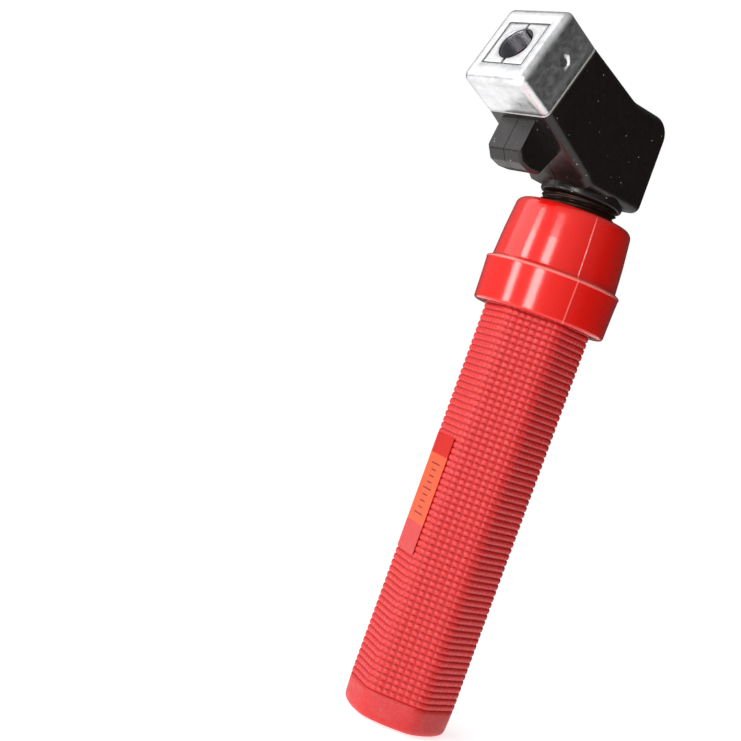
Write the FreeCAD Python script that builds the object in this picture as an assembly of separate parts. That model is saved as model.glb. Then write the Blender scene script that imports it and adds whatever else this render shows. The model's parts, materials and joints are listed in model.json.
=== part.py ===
import FreeCAD, Part

# Twist-lock welding electrode holder: a hexagonal insulated grip with a moulded collar screws along
# the threaded neck of an angled head.  Screwing the grip on lifts a contact rod, whose arm carries
# the moving jaw and closes it on the electrode's bare end inside the square nose.
#
# Frame: +Z runs along the grip towards the head, z = 0 is the grip's rear end face, and the nose
# points towards -X.  The head is symmetric about the XZ plane apart from its clamp screws.
# Millimetres throughout.

import math
import os

V = FreeCAD.Vector

# ---- driving dimensions -------------------------------------------------------------------------
GRIP_FLATS = 33.8            # across the flats of the hexagonal grip
GRIP_CORNER_R = 6.0
GRIP_BORE_R = 11.6
GRIP_LENGTH = 150.0
GRIP_TURN = 40.0             # direction of one flat's normal, degrees from +X
CABLE_ENTRY_R = 10.0
CABLE_ENTRY_LENGTH = 12.0

COLLAR_RIM_Z = 144.3
COLLAR_TOP_Z = 182.0
COLLAR_RIM_R = 23.0
COLLAR_RING_R = 23.7
COLLAR_TOP_R = 20.7

NECK_R = 13.2                # crest of the neck's thread
NECK_BORE_R = 9.6
NECK_BOTTOM_Z = 152.0
HEAD_BASE_Z = 186.6

ELBOW_Z = 203.0              # where the nose axis crosses the grip axis
NOSE_TILT = 20.0             # nose axis above the horizontal
FACE_REACH = 55.0            # from the grip axis to the nose face, along the nose axis
NOSE_HALF_Y = 14.1
NOSE_HALF_U = 14.8
NOSE_DEPTH = 16.4
NOSE_CORNER_R = 2.2

CONDUCTOR_R = 6.5            # bore of the cable socket
ROD_R = 6.0
ELECTRODE_R = 3.5            # largest electrode core that the open jaws take
MOUTH_R = 6.0                # electrode mouth in the nose face
SPLIT_HALF = 0.6             # half of the gap between the mouth halves
LABEL_WIDTH = 14.4
LABEL_BOTTOM_Z = 56.0
LABEL_TOP_Z = 97.0

# ---- places that follow from them ---------------------------------------------------------------
RUNNING = 0.1                # radial clearance of a sliding fit
ASSEMBLY = 0.1               # gap between parts that are only put together
TILT = math.radians(NOSE_TILT)
FACE = V(-FACE_REACH * math.cos(TILT), 0, ELBOW_Z + FACE_REACH * math.sin(TILT))

BUSH_BOTTOM_Z = 140.0
BUSH_TOP_Z = 176.0
BUSH_R = 15.6
WEB_TOP_Z = BUSH_BOTTOM_Z + 6.0
FLANGE_BOTTOM_Z = WEB_TOP_Z + 1.0
FLANGE_TOP_Z = FLANGE_BOTTOM_Z + 3.0
SPRING_TOP_Z = 172.0
SOCKET_BOTTOM_Z = 62.0
SOCKET_TOP_Z = BUSH_BOTTOM_Z - 1.1
SOCKET_R = 9.5
LINER_R = 10.5
STUB_R = 5.0
STUB_BOTTOM_Z = 122.0
PIN_Z = 130.0                # height of the cross pin in the stub
GRUB_HEIGHTS = (74.0, 90.0)
GRUB_R = 4.0
FLANGE_R = 9.0               # the rod's thrust flange and its washers
SKIRT_BORE_R = 18.95
COLLAR_BORE_R = 13.7
KEY_INNER_X = 14.4
KEY_OUTER_X = 17.2
KEY_HALF_Y = 2.0

BEAM_HALF_Y = 10.9           # the body's nose beam, an upside-down channel
BEAM_TOP_U = 11.6
CHANNEL_HALF_Y = 7.0
CHANNEL_TOP_U = 7.0
CAVITY_FLOOR_U = -12.2
BEAM_FRONT = 7.2             # depth behind the nose face where the beam starts
CAVITY_R = 9.2               # round space that the arm's eye moves in
CAVITY_BOTTOM_Z = 190.0
CAVITY_TOP_Z = 211.0
KEY_PIN_Z = 183.0            # height of the pin that locks the neck and keys the rod
KEY_PIN_X = 4.5
BODY_R = 11.0
BODY_TOP_Z = 213.5
SHELL_HALF_Y = 14.6
SHELL_FRONT = 17.0
SHELL_BACK_X = 14.7
SHELL_TOP_Z = 222.0
SHELL_KNEE_X = -4.9          # where the nose's top line meets the flat top
SHELL_BOTTOM_Z = 188.6
SHELL_EDGE_R = 3.0
BASE_R = 14.3                # round base of the shells, above the collar
BOSS_HALF_Y = 7.8
PARTING_HALF = 0.12          # half of the gap along the shells' parting line
EYE_BOTTOM_Z = 190.5
EYE_TOP_Z = 196.5
JAW_FRONT = 9.6              # depth of the jaw pads' front faces behind the nose face
JAW_BACK = 27.6
JAW_LIP_U = 2.3              # each jaw pad stops this far from the electrode axis
ARM_BOTTOM_U = -11.3
ARM_TOP_U = -6.2
PAD_SEAT_U = -7.8
ARM_STEP = 28.0              # depth where the arm thins for the jaw
ARM_HALF_Y = 5.5
ARM_SCREW_DEPTH = 15.5
EYE_BORE_R = 4.5
EYE_R = 8.5
TIP_R = 3.9
POST_X = -33.0
POST_R = 2.2
WASHER_THICKNESS = 0.9
CAP_SCREW_DEPTH = 10.0
CAP_SCREW_U = 2.0
CAP_SCREW_R = 1.7
CAP_SCREW_SINK = 0.9         # how far the screws sit below the cap's sides
FIXED_JAW_SCREWS = ((11.5, -4.4), (22.0, 4.4))
SCREW_HEAD_R = 3.0           # recess of a shell screw's head
SCREW_HEAD_DEPTH = 2.4
INSERT_R = 2.3
REAR_SCREW = (8.0, 216.2)    # x and z of the rear shell screw

os.makedirs("parts", exist_ok=True)


# ---- helpers ------------------------------------------------------------------------------------
def rod_along(base, direction, radius, length):
    """A cylinder from base along direction."""
    return Part.makeCylinder(radius, length, base, direction)


def upright(radius, low, high, x=0.0, y=0.0):
    """A cylinder along +Z between two heights."""
    return Part.makeCylinder(radius, high - low, V(x, y, low), V(0, 0, 1))


def tube(outer, inner, low, high):
    """A tube along +Z on the grip axis."""
    return upright(outer, low, high).cut(upright(inner, low - 1, high + 1))


def box(x0, x1, y0, y1, z0, z1):
    """A box between two corners."""
    return Part.makeBox(x1 - x0, y1 - y0, z1 - z0, V(x0, y0, z0))


def in_nose(shape):
    """Moves a shape from nose coordinates (depth behind the face, y, u) to the part's frame."""
    placed = shape.copy()
    placed.rotate(V(0, 0, 0), V(0, 1, 0), NOSE_TILT)
    placed.translate(FACE)
    return placed


def nose_box(d0, d1, y0, y1, u0, u1):
    """A box in nose coordinates."""
    return in_nose(box(d0, d1, y0, y1, u0, u1))


def nose_bore(radius, d0, d1):
    """A cylinder on the nose axis between two depths."""
    return in_nose(rod_along(V(d0, 0, 0), V(1, 0, 0), radius, d1 - d0))


def nose_point(depth, y, u):
    """A point in nose coordinates, in the part's frame."""
    across = V(math.sin(TILT), 0, math.cos(TILT))
    back = V(math.cos(TILT), 0, -math.sin(TILT))
    return FACE + back * depth + across * u + V(0, y, 0)


def lathe(points):
    """A solid turned about the grip axis from (radius, z) points."""
    wire = Part.makePolygon([V(r, 0, z) for r, z in points + points[:1]])
    return Part.Face(wire).revolve(V(0, 0, 0), V(0, 0, 1), 360)


def plate(points, y0, y1):
    """A plate cut to (x, z) points and lying between two y values."""
    wire = Part.makePolygon([V(x, y0, z) for x, z in points + points[:1]])
    return Part.Face(wire).extrude(V(0, y1 - y0, 0))


def edges_where(shape, test):
    """The edges whose middle point passes the test."""
    found = []
    for edge in shape.Edges:
        middle = edge.valueAt((edge.FirstParameter + edge.LastParameter) / 2)
        if test(edge, middle):
            found.append(edge)
    return found


def is_straight_along(edge, direction):
    """True for a straight edge parallel to direction."""
    if not isinstance(edge.Curve, (Part.Line, Part.LineSegment)):
        return False
    run = edge.lastVertex().Point - edge.firstVertex().Point
    return run.cross(direction).Length < 1e-6 * run.Length


def hexagon_prism(flats, low, high, turn=0.0):
    """A hexagonal prism with one flat's normal at turn degrees from +X."""
    corner = flats / math.sqrt(3)
    points = []
    for k in range(7):
        angle = math.radians(turn + 30 + 60 * k)
        points.append(V(corner * math.cos(angle), corner * math.sin(angle), low))
    return Part.Face(Part.makePolygon(points)).extrude(V(0, 0, high - low))


def save(name, *solids):
    """Writes one node; several solids stay separate in it."""
    shape = solids[0] if len(solids) == 1 else Part.makeCompound(list(solids))
    if not shape.isValid():
        print("not valid:", name)
    shape.exportStep("parts/" + name + ".step")


# ---- grip, collar and what turns with them ------------------------------------------------------
def grip():
    """Hexagonal insulated grip with the cable entry at its rear end."""
    body = hexagon_prism(GRIP_FLATS, 0, GRIP_LENGTH, GRIP_TURN)
    corners = edges_where(body, lambda e, m: is_straight_along(e, V(0, 0, 1)))
    body = body.makeFillet(GRIP_CORNER_R, corners)
    body = body.makeFillet(1.2, edges_where(body, lambda e, m: abs(m.z) < 1e-6))
    body = body.cut(upright(CABLE_ENTRY_R, -1, CABLE_ENTRY_LENGTH + 1))
    body = body.cut(upright(GRIP_BORE_R, CABLE_ENTRY_LENGTH, BUSH_BOTTOM_Z))
    body = body.cut(upright(BUSH_R + ASSEMBLY, BUSH_BOTTOM_Z, GRIP_LENGTH + 1))
    for key in drive_keys():
        body = body.cut(key)
    return body


def drive_keys():
    """Two keys that carry the twist from the grip to the thread bush."""
    keys = []
    for turn in (GRIP_TURN + 30, GRIP_TURN + 210):
        key = box(KEY_INNER_X, KEY_OUTER_X, -KEY_HALF_Y, KEY_HALF_Y, BUSH_BOTTOM_Z + 1, GRIP_LENGTH - 1)
        key.rotate(V(0, 0, 0), V(0, 0, 1), turn)
        keys.append(key)
    return keys


def collar():
    """Moulded collar: a skirt over the grip's end, a ring edge and a slightly conical nose."""
    skin = lathe([
        (SKIRT_BORE_R, COLLAR_RIM_Z),
        (COLLAR_RIM_R, COLLAR_RIM_Z),
        (COLLAR_RING_R, 159.4),
        (21.7, 161.0),
        (COLLAR_TOP_R, COLLAR_TOP_Z),
        (COLLAR_BORE_R, COLLAR_TOP_Z),
        (COLLAR_BORE_R, BUSH_TOP_Z),
        (BUSH_R + ASSEMBLY, BUSH_TOP_Z),
        (BUSH_R + ASSEMBLY, GRIP_LENGTH + ASSEMBLY),
        (SKIRT_BORE_R, GRIP_LENGTH + ASSEMBLY),
    ])
    skin = skin.makeFillet(2.6, outer_circle(skin, COLLAR_TOP_Z))
    return skin.makeFillet(1.0, outer_circle(skin, COLLAR_RIM_Z))


def outer_circle(skin, z):
    """The collar's outer edge at one height."""
    return edges_where(skin, lambda e, m: abs(m.z - z) < 1e-6 and math.hypot(m.x, m.y) > 20)


def thread_bush():
    """Brass nut that runs on the neck, with a web that carries the rod."""
    body = upright(BUSH_R, BUSH_BOTTOM_Z, BUSH_TOP_Z)
    body = body.cut(upright(NECK_R + 0.05, WEB_TOP_Z, BUSH_TOP_Z + 1))
    body = body.cut(upright(ROD_R + RUNNING, BUSH_BOTTOM_Z - 1, WEB_TOP_Z + 1))
    for key in drive_keys():
        body = body.cut(key)
    return body


def insulating_liner():
    """Insulating tube between the grip's bore and the live socket."""
    return tube(GRIP_BORE_R - ASSEMBLY, LINER_R, CABLE_ENTRY_LENGTH + 2, BUSH_BOTTOM_Z - 3)


def rating_label():
    """Smooth label let onto one flat of the grip."""
    flat = GRIP_FLATS / 2
    label = box(flat, flat + 0.25, -LABEL_WIDTH / 2, LABEL_WIDTH / 2, LABEL_BOTTOM_Z, LABEL_TOP_Z)
    corners = edges_where(label, lambda e, m: is_straight_along(e, V(1, 0, 0)))
    label = label.makeFillet(1.2, corners)
    label.rotate(V(0, 0, 0), V(0, 0, 1), GRIP_TURN + 120)
    return label


# ---- contact rod, arm and what slides with them -------------------------------------------------
def contact_rod():
    """Stepped brass rod with a thrust flange, a key slot and a threaded tip."""
    body = upright(STUB_R, STUB_BOTTOM_Z, SOCKET_TOP_Z)
    body = body.fuse(upright(ROD_R, SOCKET_TOP_Z, EYE_BOTTOM_Z))
    body = body.fuse(upright(FLANGE_R, FLANGE_BOTTOM_Z, FLANGE_TOP_Z))
    body = body.fuse(upright(EYE_BORE_R, EYE_BOTTOM_Z, EYE_TOP_Z))
    body = body.fuse(upright(TIP_R, EYE_TOP_Z, EYE_TOP_Z + 7.5))
    body = body.removeSplitter()
    body = body.cut(box(KEY_PIN_X - 0.3, ROD_R + 1, -1.6, 1.6, KEY_PIN_Z - 8.0, KEY_PIN_Z + 2.2))
    return body.cut(socket_pin())


def cable_socket():
    """Brass socket for the cable's conductor, with two tapped holes for its grub screws."""
    body = upright(SOCKET_R, SOCKET_BOTTOM_Z, SOCKET_TOP_Z)
    body = body.cut(upright(CONDUCTOR_R, SOCKET_BOTTOM_Z - 1, 110.0))
    body = body.cut(upright(STUB_R, STUB_BOTTOM_Z, SOCKET_TOP_Z + 1))
    for z in GRUB_HEIGHTS:
        body = body.cut(rod_along(V(0, 0, z), V(1, 0, 0), GRUB_R, SOCKET_R + 1))
    return body.cut(socket_pin())


def cable_grub_screws():
    """Two grub screws with hexagon sockets that clamp the conductor."""
    screws = []
    for z in GRUB_HEIGHTS:
        screw = rod_along(V(CONDUCTOR_R + 0.2, 0, z), V(1, 0, 0), GRUB_R, 2.5)
        socket = hexagon_prism(4.0, 0, 2.2)
        socket.rotate(V(0, 0, 0), V(0, 1, 0), 90)
        socket.translate(V(CONDUCTOR_R + 1.0, 0, z))
        screws.append(screw.cut(socket))
    return screws


def socket_pin():
    """Cross pin that locks the cable socket on the rod's stub."""
    half = SOCKET_R - 0.2
    return rod_along(V(0, -half, PIN_Z), V(0, 1, 0), 1.5, 2 * half)


def thrust_washers():
    """Washers above and below the bush's web."""
    upper = tube(FLANGE_R, ROD_R + RUNNING, WEB_TOP_Z + 0.05, FLANGE_BOTTOM_Z - 0.05)
    lower = tube(FLANGE_R, ROD_R + RUNNING, SOCKET_TOP_Z + 0.05, BUSH_BOTTOM_Z - 0.05)
    return upper, lower


def return_spring():
    """Compression spring round the rod that opens the jaws and takes up the thread's play."""
    wire = 0.8
    coils = 5
    low = FLANGE_TOP_Z + wire + 0.1
    rise = SPRING_TOP_Z - low - wire - 0.1
    helix = Part.makeHelix(rise / coils, rise, 7.7)
    path = Part.Wire(helix.Edges)
    start = path.Edges[0].valueAt(path.Edges[0].FirstParameter)
    heading = path.Edges[0].tangentAt(path.Edges[0].FirstParameter)
    section = Part.Wire(Part.makeCircle(wire, start, heading))
    spring = path.makePipeShell([section], True, True)
    spring = Part.Solid(spring) if spring.ShapeType == "Shell" else spring
    spring.translate(V(0, 0, low))
    return spring


def clamp_arm():
    """Arm from the rod to the moving jaw: an eye on the rod and a bar along the nose."""
    eye = upright(EYE_R, EYE_BOTTOM_Z, EYE_TOP_Z)
    thick = nose_box(ARM_STEP, 52.5, -ARM_HALF_Y, ARM_HALF_Y, ARM_BOTTOM_U, ARM_TOP_U)
    thin = nose_box(JAW_FRONT + 0.4, ARM_STEP, -ARM_HALF_Y, ARM_HALF_Y, ARM_BOTTOM_U, PAD_SEAT_U)
    body = eye.fuse([thick, thin]).removeSplitter()
    body = body.cut(upright(EYE_BORE_R, EYE_BOTTOM_Z - 1, EYE_TOP_Z + 8))
    body = body.cut(upright(8.1, EYE_TOP_Z, EYE_TOP_Z + 8))
    body = body.cut(guide_post())
    return body.cut(moving_jaw_screw())


def guide_post():
    """Steel post under the arm that slides in the boss below the nose."""
    post = upright(POST_R, 189.0, 212.0, x=POST_X)
    return post.common(nose_box(0, 60, -5, 5, -40, PAD_SEAT_U))


def moving_jaw():
    """Lower jaw pad with a round groove."""
    pad = nose_box(JAW_FRONT, JAW_BACK, -ARM_HALF_Y, ARM_HALF_Y, PAD_SEAT_U, -JAW_LIP_U)
    pad = pad.cut(nose_bore(ELECTRODE_R, 5, 32))
    return pad.cut(moving_jaw_screw())


def moving_jaw_screw():
    """Countersunk screw from under the arm into the lower jaw."""
    seat = V(ARM_SCREW_DEPTH, 0, ARM_BOTTOM_U)
    head = in_nose(Part.makeCone(2.6, 1.5, 1.4, seat, V(0, 0, 1)))
    shank = in_nose(rod_along(seat + V(0, 0, 0.5), V(0, 0, 1), 1.5, 5.0))
    return head.fuse(shank).removeSplitter()


def rod_nut():
    """Nut that holds the arm's eye on the rod."""
    seat_z = EYE_TOP_Z + WASHER_THICKNESS
    return hexagon_prism(13.0, seat_z, seat_z + 5.4).cut(upright(TIP_R, 190, 210))


def rod_washer():
    """Washer under the rod's nut."""
    return tube(7.5, TIP_R, EYE_TOP_Z, EYE_TOP_Z + WASHER_THICKNESS)


# ---- head ---------------------------------------------------------------------------------------
def head_body():
    """Brass head: a stub in the neck, a round chamber and the nose beam."""
    stub = upright(NECK_BORE_R - 0.05, SPRING_TOP_Z, HEAD_BASE_Z + 2)
    chamber = upright(BODY_R, HEAD_BASE_Z + 0.5, BODY_TOP_Z)
    beam = nose_box(BEAM_FRONT, FACE_REACH, -BEAM_HALF_Y, BEAM_HALF_Y, CAVITY_FLOOR_U + 0.3, BEAM_TOP_U)
    beam = beam.common(box(-60, 0, -20, 20, HEAD_BASE_Z + 0.5, BODY_TOP_Z + 40))
    body = stub.fuse([chamber, beam]).removeSplitter()
    body = body.cut(upright(CAVITY_R, CAVITY_BOTTOM_Z, CAVITY_TOP_Z))
    channel = nose_box(0, FACE_REACH, -CHANNEL_HALF_Y, CHANNEL_HALF_Y, -20, CHANNEL_TOP_U)
    channel = channel.common(box(-60, 2, -20, 20, CAVITY_BOTTOM_Z, BODY_TOP_Z + 40))
    body = body.cut(channel)
    body = body.cut(upright(ROD_R + RUNNING, SPRING_TOP_Z - 1, CAVITY_BOTTOM_Z + 1))
    body = body.cut(key_pin())
    front_x, front_z = shell_screw_places()[0]
    front_hole = across_head(front_x, front_z, -SHELL_HALF_Y, 2 * SHELL_HALF_Y, 1.7)
    for tool in cap_screws() + fixed_jaw_screws() + [front_hole]:
        body = body.cut(tool)
    return body


def shell_screw_places():
    """x and z of the front shell screw, in the beam's top wall, and of the rear one."""
    front = nose_point(30.0, 0, 9.3)
    return (front.x, front.z), REAR_SCREW


def across_head(x, z, y, length, radius):
    """A cylinder along +Y for a shell screw, its insert or its hole."""
    return rod_along(V(x, y, z), V(0, 1, 0), radius, length)


def threaded_neck():
    """Threaded tube that the grip's bush runs on."""
    return tube(NECK_R, NECK_BORE_R, NECK_BOTTOM_Z, HEAD_BASE_Z - 0.1).cut(key_pin())


def key_pin():
    """Pin that locks the neck to the head and keys the rod."""
    return rod_along(V(KEY_PIN_X, 0, KEY_PIN_Z), V(1, 0, 0), 1.5, NECK_R - KEY_PIN_X - 0.9)


def nose_cap():
    """Square metal nose with a window for the electrode mouth."""
    cap = box(0, NOSE_DEPTH, -NOSE_HALF_Y, NOSE_HALF_Y, -NOSE_HALF_U, NOSE_HALF_U)
    cap = cap.makeFillet(NOSE_CORNER_R, edges_where(cap, lambda e, m: is_straight_along(e, V(1, 0, 0))))
    cap = cap.makeFillet(1.6, edges_where(cap, lambda e, m: abs(m.x) < 1e-6))
    cap = cap.cut(box(-1, 8, -9.25, 9.25, -8.6, 8.6))
    cap = cap.cut(box(4.5, 8, -10.7, 10.7, -10.3, 10.3))
    cap = in_nose(cap).cut(beam_space(BEAM_FRONT - 0.1, NOSE_DEPTH + 1))
    across = V(0, 2 * NOSE_HALF_Y + 2, 0)
    hole_start = nose_point(CAP_SCREW_DEPTH, -NOSE_HALF_Y - 1, CAP_SCREW_U)
    return cap.cut(rod_along(hole_start, across, CAP_SCREW_R, across.Length))


def cap_screws():
    """One slotted grub screw each side, through the cap into the beam."""
    screws = []
    for side in (-1, 1):
        outer = V(CAP_SCREW_DEPTH, side * (NOSE_HALF_Y - CAP_SCREW_SINK), CAP_SCREW_U)
        screws.append(in_nose(rod_along(outer, V(0, -side, 0), CAP_SCREW_R, 4.6)))
    return screws


def slotted_cap_screws():
    """The cap's grub screws with their driver slots."""
    made = []
    for side, screw in zip((-1, 1), cap_screws()):
        outer = side * (NOSE_HALF_Y - CAP_SCREW_SINK)
        low, high = sorted((outer - side * 0.9, outer + side))
        slot = box(-CAP_SCREW_R - 1, CAP_SCREW_R + 1, low, high, -0.3, 0.3)
        slot.rotate(V(0, 0, 0), V(0, 1, 0), -35)
        slot.translate(V(CAP_SCREW_DEPTH, 0, CAP_SCREW_U))
        made.append(screw.cut(in_nose(slot)))
    return made


def mouth_half(side):
    """One half of the electrode mouth, held behind the cap's window."""
    low, high = sorted((side * SPLIT_HALF, side * 9.0))
    flange_low, flange_high = sorted((side * SPLIT_HALF, side * 10.5))
    block = box(0.1, 7.0, low, high, -8.4, 8.4)
    flange = box(4.7, 7.0, flange_low, flange_high, -10.1, 10.1)
    body = in_nose(block.fuse(flange).removeSplitter())
    return body.cut(nose_bore(MOUTH_R, -1, 9))


def nose_gasket():
    """Insulating gasket between the nose cap and the shells."""
    inset = 0.1
    sheet = box(NOSE_DEPTH + 0.05, SHELL_FRONT - 0.05, -NOSE_HALF_Y + inset, NOSE_HALF_Y - inset,
                -NOSE_HALF_U + inset, NOSE_HALF_U - inset)
    corners = edges_where(sheet, lambda e, m: is_straight_along(e, V(1, 0, 0)))
    sheet = sheet.makeFillet(NOSE_CORNER_R - inset, corners)
    return in_nose(sheet).cut(beam_space(NOSE_DEPTH - 1, SHELL_FRONT + 1))


def beam_space(d0, d1):
    """The room that the beam and the arm take between two depths."""
    return nose_box(d0, d1, -BEAM_HALF_Y - ASSEMBLY, BEAM_HALF_Y + ASSEMBLY,
                    CAVITY_FLOOR_U, BEAM_TOP_U + ASSEMBLY)


def fixed_jaw():
    """Upper jaw pad under the beam's roof."""
    pad = nose_box(JAW_FRONT, JAW_BACK, -6.5, 6.5, JAW_LIP_U, CHANNEL_TOP_U)
    pad = pad.cut(nose_bore(ELECTRODE_R, 5, 32))
    for screw in fixed_jaw_screws():
        pad = pad.cut(screw)
    return pad


def fixed_jaw_screws():
    """Two countersunk screws through the beam's roof into the upper jaw."""
    screws = []
    sink = 1.4
    low_u = JAW_LIP_U + 1.2
    for depth, y in FIXED_JAW_SCREWS:
        head = in_nose(Part.makeCone(1.4, 2.5, sink, V(depth, y, BEAM_TOP_U - sink), V(0, 0, 1)))
        shank = in_nose(rod_along(V(depth, y, low_u), V(0, 0, 1), 1.4, BEAM_TOP_U - sink - low_u))
        screws.append(head.fuse(shank).removeSplitter())
    return screws


def shell_block():
    """Both head shells as one solid, before the split and the hollowing."""
    front_low = nose_point(SHELL_FRONT, 0, -NOSE_HALF_U)
    front_high = nose_point(SHELL_FRONT, 0, NOSE_HALF_U)
    outline = [
        (front_low.x, front_low.z),
        (-16.1, 190.9),
        (-13.0, SHELL_BOTTOM_Z),
        (SHELL_BACK_X, SHELL_BOTTOM_Z),
        (SHELL_BACK_X, SHELL_TOP_Z),
        (SHELL_KNEE_X, SHELL_TOP_Z),
        (front_high.x, front_high.z),
    ]
    block = plate(outline, -SHELL_HALF_Y, SHELL_HALF_Y)
    across = V(0, 1, 0)

    def near(middle, x, z):
        return math.hypot(middle.x - x, middle.z - z) < 0.5

    roundings = (
        (SHELL_BACK_X, SHELL_TOP_Z, 7.0),
        (SHELL_BACK_X, SHELL_BOTTOM_Z, 3.2),
        (SHELL_KNEE_X, SHELL_TOP_Z, 9.0),
        (-16.1, 190.9, 3.0),
    )
    for x, z, radius in roundings:
        edges = edges_where(block, lambda e, m: is_straight_along(e, across) and near(m, x, z))
        block = block.makeFillet(radius, edges)
    front = V(math.cos(TILT), 0, -math.sin(TILT))

    def is_rim(edge, middle):
        on_side = abs(abs(middle.y) - SHELL_HALF_Y) < 1e-6
        at_front = abs((middle - nose_point(SHELL_FRONT, 0, 0)).dot(front)) < 0.5
        return on_side and not at_front

    block = block.makeFillet(SHELL_EDGE_R, edges_where(block, is_rim))
    base = upright(BASE_R, HEAD_BASE_Z, SHELL_BOTTOM_Z + 3)
    base = base.makeFillet(1.1, edges_where(base, lambda e, m: abs(m.z - HEAD_BASE_Z) < 1e-6))
    return block.fuse(base).removeSplitter()


def guide_boss():
    """Boss under the nose that guides the arm's post."""
    outline = [
        (-39.2, 203.0),
        (-41.2, 190.3),
        (-38.8, 187.2),
        (-34.6, 186.2),
        (-29.5, 186.6),
        (-23.8, 196.5),
    ]
    boss = plate(outline, -BOSS_HALF_Y, BOSS_HALF_Y)
    return boss.makeFillet(1.3, edges_where(boss, lambda e, m: m.z < 196.2))


def shell_space():
    """What is hollow inside the shells."""
    chamber = upright(BODY_R + ASSEMBLY, HEAD_BASE_Z, BODY_TOP_Z + ASSEMBLY)
    beam = beam_space(0, FACE_REACH).common(box(-60, 0, -20, 20, HEAD_BASE_Z, BODY_TOP_Z + 40))
    pocket = upright(3.5, 188.4, 206.0, x=POST_X)
    return [chamber, beam, pocket]


def shell(side):
    """One head shell; the left one has the screw heads and the right one the inserts."""
    half = shell_block().fuse(guide_boss()).removeSplitter()
    low, high = sorted((side * PARTING_HALF, side * 20.0))
    half = half.common(box(-60, 30, low, high, 170, 240))
    for space in shell_space():
        half = half.cut(space)
    for x, z in shell_screw_places():
        if side > 0:
            half = half.cut(across_head(x, z, -1, 20, 1.7))
            half = half.cut(across_head(x, z, SHELL_HALF_Y - SCREW_HEAD_DEPTH, 5, SCREW_HEAD_R))
        else:
            half = half.cut(across_head(x, z, -12.2, 12.2, INSERT_R))
    return half


def shell_screws():
    """Cross-recessed screws that pull the shells together."""
    screws = []
    seat = SHELL_HALF_Y - SCREW_HEAD_DEPTH + 0.1
    top = seat + 1.9
    for x, z in shell_screw_places():
        head = across_head(x, z, seat, top - seat, SCREW_HEAD_R - 0.1)
        shank = across_head(x, z, -10.5, seat + 11.0, 1.45)
        screw = head.fuse(shank).removeSplitter()
        for turn in (0, 90):
            slot = box(x - 1.7, x + 1.7, top - 1.0, top + 1, z - 0.35, z + 0.35)
            slot.rotate(V(x, 0, z), V(0, 1, 0), turn + 20)
            screw = screw.cut(slot)
        screws.append(screw)
    return screws


def shell_inserts():
    """Brass inserts in the right shell that take the screws."""
    inserts = []
    for (x, z), length in zip(shell_screw_places(), (1.1, 8.0)):
        body = across_head(x, z, -12.1, length, INSERT_R - 0.05)
        inserts.append(body.cut(across_head(x, z, -10.6, 20, 1.5)))
    return inserts


def guide_bush():
    """Bush in the boss for the arm's post."""
    bush = upright(3.45, 188.6, 197.5, x=POST_X)
    return bush.cut(upright(POST_R + RUNNING, 180, 210, x=POST_X))


# ---- write the nodes ----------------------------------------------------------------------------
save("grip", grip())
save("drive_keys", *drive_keys())
save("collar", collar())
save("thread_bush", thread_bush())
save("insulating_liner", insulating_liner())
save("rating_label", rating_label())

save("contact_rod", contact_rod())
save("cable_socket", cable_socket())
save("cable_grub_screws", *cable_grub_screws())
save("socket_pin", socket_pin())
save("thrust_washers", *thrust_washers())
save("clamp_arm", clamp_arm())
save("guide_post", guide_post())
save("moving_jaw", moving_jaw())
save("moving_jaw_screw", moving_jaw_screw())
save("rod_nut", rod_nut())
save("rod_washer", rod_washer())

save("return_spring", return_spring())
save("head_body", head_body())
save("threaded_neck", threaded_neck())
save("key_pin", key_pin())
save("nose_cap", nose_cap())
save("cap_screws", *slotted_cap_screws())
save("mouth_half_right", mouth_half(-1))
save("mouth_half_left", mouth_half(1))
save("nose_gasket", nose_gasket())
save("fixed_jaw", fixed_jaw())
save("fixed_jaw_screws", *fixed_jaw_screws())
save("shell_right", shell(-1))
save("shell_left", shell(1))
save("shell_screws", *shell_screws())
save("shell_inserts", *shell_inserts())
save("guide_bush", guide_bush())
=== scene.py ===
"""The looks of a twist-lock welding electrode holder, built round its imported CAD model.

Metres throughout, in the part's own frame: +Z runs along the grip towards the head, z = 0 is the
grip's rear end face, the nose points towards -X and the head is symmetric about y = 0.
"""

import json
import math

import bmesh
import bpy
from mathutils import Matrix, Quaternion, Vector


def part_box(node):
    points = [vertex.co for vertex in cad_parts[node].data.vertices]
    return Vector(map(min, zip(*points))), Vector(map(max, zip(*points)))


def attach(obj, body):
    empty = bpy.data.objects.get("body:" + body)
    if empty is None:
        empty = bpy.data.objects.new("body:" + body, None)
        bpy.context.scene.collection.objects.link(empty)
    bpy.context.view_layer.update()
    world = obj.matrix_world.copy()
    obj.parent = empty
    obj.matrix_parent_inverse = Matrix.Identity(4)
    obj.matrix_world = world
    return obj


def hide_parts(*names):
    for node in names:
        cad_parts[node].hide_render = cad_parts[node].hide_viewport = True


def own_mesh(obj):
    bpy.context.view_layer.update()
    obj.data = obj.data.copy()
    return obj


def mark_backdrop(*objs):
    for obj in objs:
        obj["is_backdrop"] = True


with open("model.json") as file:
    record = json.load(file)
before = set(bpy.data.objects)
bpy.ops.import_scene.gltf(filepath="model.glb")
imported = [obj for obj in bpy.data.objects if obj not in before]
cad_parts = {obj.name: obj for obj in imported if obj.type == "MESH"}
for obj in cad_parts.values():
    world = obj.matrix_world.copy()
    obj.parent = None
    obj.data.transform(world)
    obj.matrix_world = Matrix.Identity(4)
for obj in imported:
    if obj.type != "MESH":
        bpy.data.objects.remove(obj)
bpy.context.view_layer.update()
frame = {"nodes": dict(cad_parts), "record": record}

scene = bpy.context.scene
MM = 0.001


# ---- sizes that follow from the frame -----------------------------------------------------------
grip_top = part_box("grip")[1].z
neck_low, neck_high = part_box("threaded_neck")

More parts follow.
